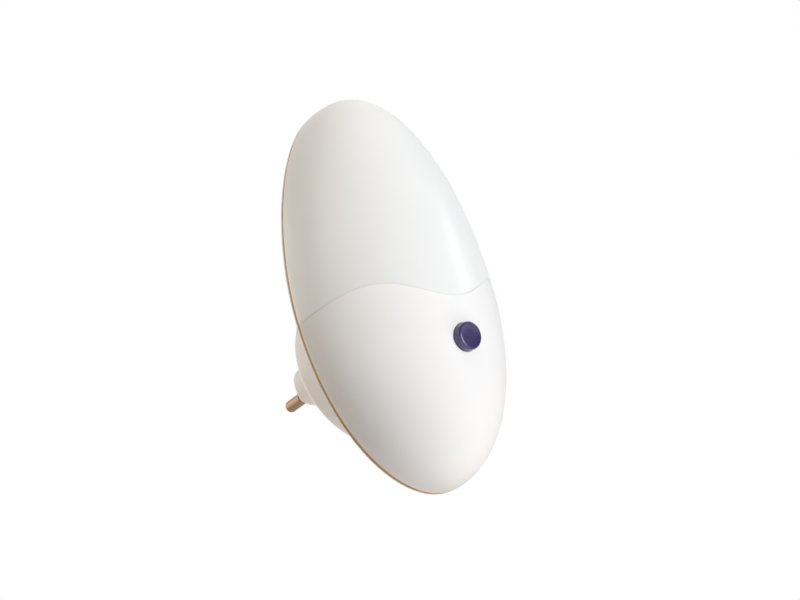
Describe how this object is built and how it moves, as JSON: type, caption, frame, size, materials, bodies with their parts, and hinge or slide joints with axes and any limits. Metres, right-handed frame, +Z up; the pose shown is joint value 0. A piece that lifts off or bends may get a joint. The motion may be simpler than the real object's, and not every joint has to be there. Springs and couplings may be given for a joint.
{
  "type": "plug-in night light",
  "caption": "Egg-shaped wall night light: frosted lens over a white cover with a push button, on a round plug body with a flat two-pin plug.",
  "frame": {"origin": "middle of the plug nose's flat end face, between the two pins, where the lamp meets its socket", "axes": "+Z up along the tall shell, +Y out of the pins into the socket, -Y faces the room, +X to the right seen from the room"},
  "size_m": [0.0686, 0.0861, 0.13],
  "materials": {
    "lens_plastic": "frosted, lets light through",
    "cover_plastic": "fine satin",
    "housing_plastic": "fine satin",
    "button_plastic": "smooth",
    "pin_metal": "nickel plated, lightly worn",
    "sleeve_plastic": "smooth",
    "screw_steel": "zinc plated",
    "tray_plastic": "white",
    "board_laminate": "paper laminate",
    "switch_plastic": "smooth",
    "stem_plastic": "smooth",
    "spring_steel": "drawn wire",
    "terminal_metal": "tinned",
    "capacitor_case": "smooth",
    "can_aluminium": "sleeved can",
    "rectifier_epoxy": "moulded",
    "resistor_enamel": "enamelled",
    "led_epoxy": "clear",
    "lead_insulation": "smooth"
  },
  "bodies": {
    "housing": {"diffuser_lens": "lens_plastic", "front_cover": "cover_plastic", "rear_housing": "housing_plastic", "left_pin": "pin_metal", "right_pin": "pin_metal", "left_pin_sleeve": "sleeve_plastic", "right_pin_sleeve": "sleeve_plastic", "pin_clamp": "housing_plastic", "pin_clamp_screw": "screw_steel", "housing_screws": "screw_steel", "switch_spring": "spring_steel", "switch_body": "switch_plastic", "switch_terminals": "terminal_metal", "power_board": "board_laminate", "power_board_screws": "screw_steel", "dropper_capacitor": "capacitor_case", "smoothing_capacitor": "can_aluminium", "rectifier": "rectifier_epoxy", "fusible_resistor": "resistor_enamel", "resistors": "resistor_enamel", "reflector_tray": "tray_plastic", "lamp_board": "board_laminate", "lamp_board_screws": "screw_steel", "leds": "led_epoxy", "live_lead": "lead_insulation", "neutral_lead": "lead_insulation", "lamp_live_lead": "lead_insulation", "lamp_return_lead": "lead_insulation"},
    "button": {"button_cap": "button_plastic", "switch_plunger": "stem_plastic"}
  },
  "joints": [
    {"name": "button_press", "type": "slide", "parent": "housing", "child": "button", "axis": [0, 0.9816, 0.1908], "range_m": [0, 0.0018], "stiffness_N_per_m": 400, "springref_m": -0.003, "deforming": ["switch_spring"]}
  ]
}
